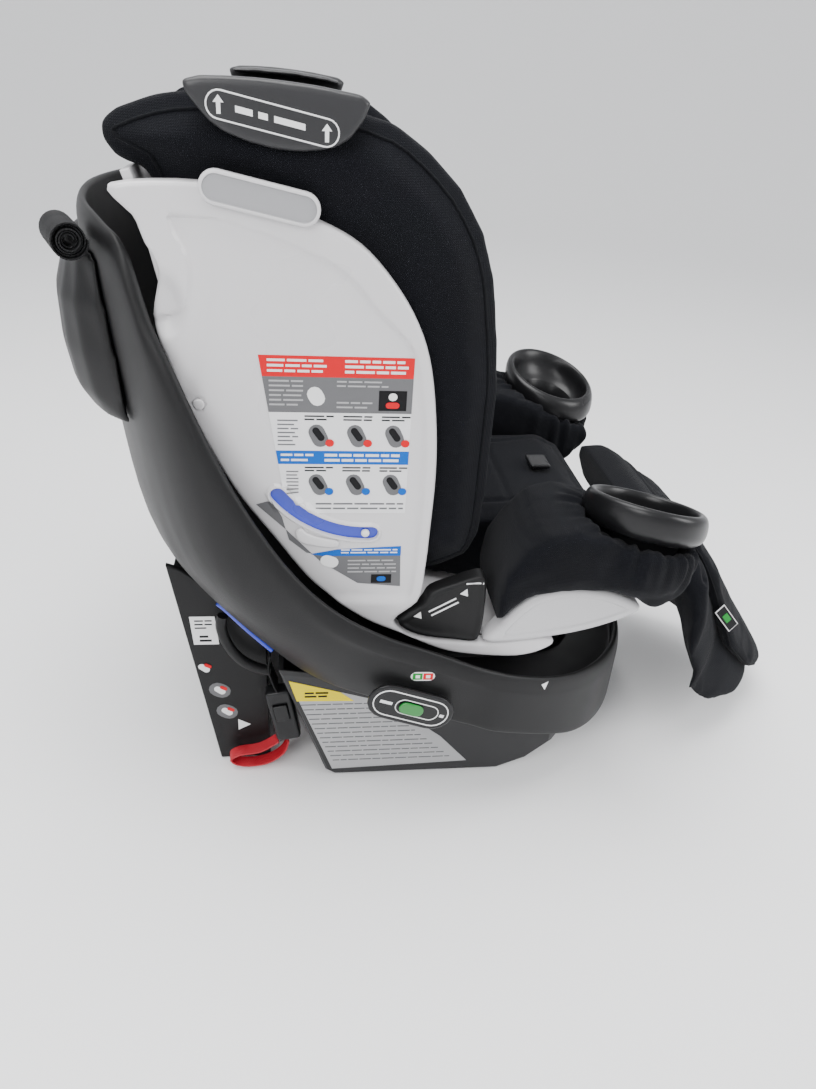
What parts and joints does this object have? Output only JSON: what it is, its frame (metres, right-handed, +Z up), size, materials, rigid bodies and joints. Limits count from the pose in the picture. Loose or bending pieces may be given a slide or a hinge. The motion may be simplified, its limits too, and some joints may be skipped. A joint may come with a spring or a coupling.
{
  "type": "convertible car seat",
  "caption": "Child's convertible car seat on a turning base, with side shells, padded cover, cup holders and a swept carrier upright.",
  "frame": {"origin": "middle of the base's flat underside", "axes": "+Z up, the seat faces -Y, the child's right side is -X"},
  "size_m": [0.4806, 0.7807, 0.66],
  "materials": {
    "shell_white": "satin moulded",
    "matte_black": "fine-grained matte",
    "base_grey": "fine-grained satin",
    "satin_black": "satin",
    "handle_grey": "satin",
    "badge_grey": "satin",
    "fabric_black": "knitted",
    "webbing_black": "woven webbing",
    "webbing_red": "woven webbing",
    "signal_blue": "gloss",
    "signal_green": "gloss",
    "signal_red": "satin",
    "steel": "brushed"
  },
  "bodies": {
    "base": {"base_tub": "base_grey", "carrier_bowl": "matte_black", "base_web": "base_grey", "bearing_race": "steel", "pivot_bolt": "steel", "rear_panel": "matte_black", "tether_pocket": "matte_black", "tether_roll": "webbing_black", "seat_lock_bezel": "satin_black", "anchor_strap_right": "webbing_black", "anchor_strap_left": "webbing_black", "anchor_connector_right": "satin_black", "anchor_connector_left": "satin_black", "pull_loop_right": "webbing_red", "pull_loop_left": "webbing_red"},
    "turntable": {"turntable_plate": "matte_black"},
    "seat": {"seat_shell": "shell_white", "side_panel_right": "shell_white", "side_panel_left": "shell_white", "belt_guide_right": "matte_black", "belt_guide_left": "matte_black", "front_pod_right": "shell_white", "front_pod_left": "shell_white", "recline_shoe_right": "satin_black", "recline_shoe_left": "satin_black", "badge_right": "badge_grey", "badge_left": "badge_grey", "level_window_right": "signal_blue", "level_window_left": "signal_blue", "wing_cover_right": "fabric_black", "wing_cover_left": "fabric_black", "back_cushion": "fabric_black", "seat_cushion": "fabric_black", "armrest_right": "fabric_black", "armrest_left": "fabric_black", "calf_flap": "fabric_black", "shoulder_strap_right": "webbing_black", "shoulder_strap_left": "webbing_black", "hip_strap_right": "webbing_black", "hip_strap_left": "webbing_black", "buckle": "satin_black"},
    "rotation_latch": {"rotation_latch": "steel"},
    "seat_lock_slider": {"seat_lock_slider": "signal_green"},
    "seat_lock_bolt": {"seat_lock_bolt": "steel"},
    "rotate_handle_right": {"rotate_handle_right": "handle_grey"},
    "rotate_handle_left": {"rotate_handle_left": "handle_grey"},
    "cup_holder_right": {"cup_holder_right": "satin_black"},
    "cup_holder_left": {"cup_holder_left": "satin_black"},
    "level_ball_right": {"level_ball_right": "shell_white"},
    "level_ball_left": {"level_ball_left": "shell_white"},
    "anchor_button_right": {"anchor_button_right": "satin_black"},
    "anchor_button_left": {"anchor_button_left": "satin_black"},
    "headrest": {"headrest_shell": "satin_black", "headrest_pad": "fabric_black"},
    "headrest_handle": {"headrest_handle": "satin_black"},
    "chest_clip": {"chest_clip": "satin_black"},
    "buckle_button": {"buckle_button": "signal_red"},
    "adjuster_button": {"adjuster_button": "satin_black"},
    "recline_pull": {"recline_pull": "satin_black"}
  },
  "joints": [
    {"name": "turn", "type": "hinge", "parent": "base", "child": "turntable", "pos_m": [0, -0.11, 0.112], "axis": [0, 0, 1], "continuous": true, "deforming": ["calf_flap"]},
    {"name": "recline", "type": "hinge", "parent": "turntable", "child": "seat", "pos_m": [0, -0.11, 0.75], "axis": [-1, 0, 0], "range_deg": [0, 6], "deforming": ["calf_flap"]},
    {"name": "rotate_handle_right_lift", "type": "slide", "parent": "seat", "child": "rotate_handle_right", "axis": [0, 0, 1], "range_m": [0, 0.01], "stiffness_N_per_m": 400, "springref_m": -0.004},
    {"name": "rotate_handle_left_lift", "type": "slide", "parent": "seat", "child": "rotate_handle_left", "axis": [0, 0, 1], "range_m": [0, 0.01], "stiffness_N_per_m": 400, "springref_m": -0.004},
    {"name": "rotation_latch_lift", "type": "slide", "parent": "turntable", "child": "rotation_latch", "axis": [0, 0, 1], "range_m": [0, 0.01], "stiffness_N_per_m": 300, "springref_m": -0.004},
    {"name": "seat_lock_slide", "type": "slide", "parent": "base", "child": "seat_lock_slider", "axis": [0, -0.9397, -0.342], "range_m": [0, 0.012]},
    {"name": "seat_lock_bolt_slide", "type": "slide", "parent": "base", "child": "seat_lock_bolt", "axis": [1, 0, 0], "range_m": [0, 0.012]},
    {"name": "cup_holder_right_lift", "type": "slide", "parent": "seat", "child": "cup_holder_right", "axis": [0, 0, 1], "range_m": [0, 0.08]},
    {"name": "cup_holder_left_lift", "type": "slide", "parent": "seat", "child": "cup_holder_left", "axis": [0, 0, 1], "range_m": [0, 0.08]},
    {"name": "level_ball_right_roll", "type": "hinge", "parent": "seat", "child": "level_ball_right", "pos_m": [-0.201, 0.0097, 0.4166], "axis": [1, 0, 0], "range_deg": [-3, 53]},
    {"name": "level_ball_left_roll", "type": "hinge", "parent": "seat", "child": "level_ball_left", "pos_m": [0.201, 0.0097, 0.4166], "axis": [1, 0, 0], "range_deg": [-3, 53]},
    {"name": "headrest_slide", "type": "slide", "parent": "seat", "child": "headrest", "axis": [0, 0.3162, 0.9487], "range_m": [0, 0.12]},
    {"name": "headrest_handle_squeeze", "type": "slide", "parent": "headrest", "child": "headrest_handle", "axis": [0, 0.3162, 0.9487], "range_m": [0, 0.006], "stiffness_N_per_m": 500, "springref_m": -0.003},
    {"name": "chest_clip_slide", "type": "slide", "parent": "seat", "child": "chest_clip", "axis": [0, 0.3162, 0.9487], "range_m": [-0.01, 0.008]},
    {"name": "buckle_button_press", "type": "slide", "parent": "seat", "child": "buckle_button", "axis": [0, 0, -1], "range_m": [0, 0.002], "stiffness_N_per_m": 1500, "springref_m": -0.001},
    {"name": "adjuster_button_press", "type": "slide", "parent": "seat", "child": "adjuster_button", "axis": [0, 0, -1], "range_m": [0, 0.003], "stiffness_N_per_m": 1200, "springref_m": -0.001},
    {"name": "recline_pull_slide", "type": "slide", "parent": "seat", "child": "recline_pull", "axis": [0, -1, 0], "range_m": [0, 0.012], "stiffness_N_per_m": 400, "springref_m": -0.004},
    {"name": "anchor_button_right_press", "type": "slide", "parent": "base", "child": "anchor_button_right", "axis": [1, 0, 0], "range_m": [0, 0.0015], "stiffness_N_per_m": 1500, "springref_m": -0.0005},
    {"name": "anchor_button_left_press", "type": "slide", "parent": "base", "child": "anchor_button_left", "axis": [-1, 0, 0], "range_m": [0, 0.0015], "stiffness_N_per_m": 1500, "springref_m": -0.0005}
  ],
  "couplings": [
    {"joint": "rotate_handle_left_lift", "follows": "rotate_handle_right_lift", "ratio": 1},
    {"joint": "rotation_latch_lift", "follows": "rotate_handle_right_lift", "ratio": 1},
    {"joint": "seat_lock_bolt_slide", "follows": "seat_lock_slide", "ratio": 1}
  ]
}
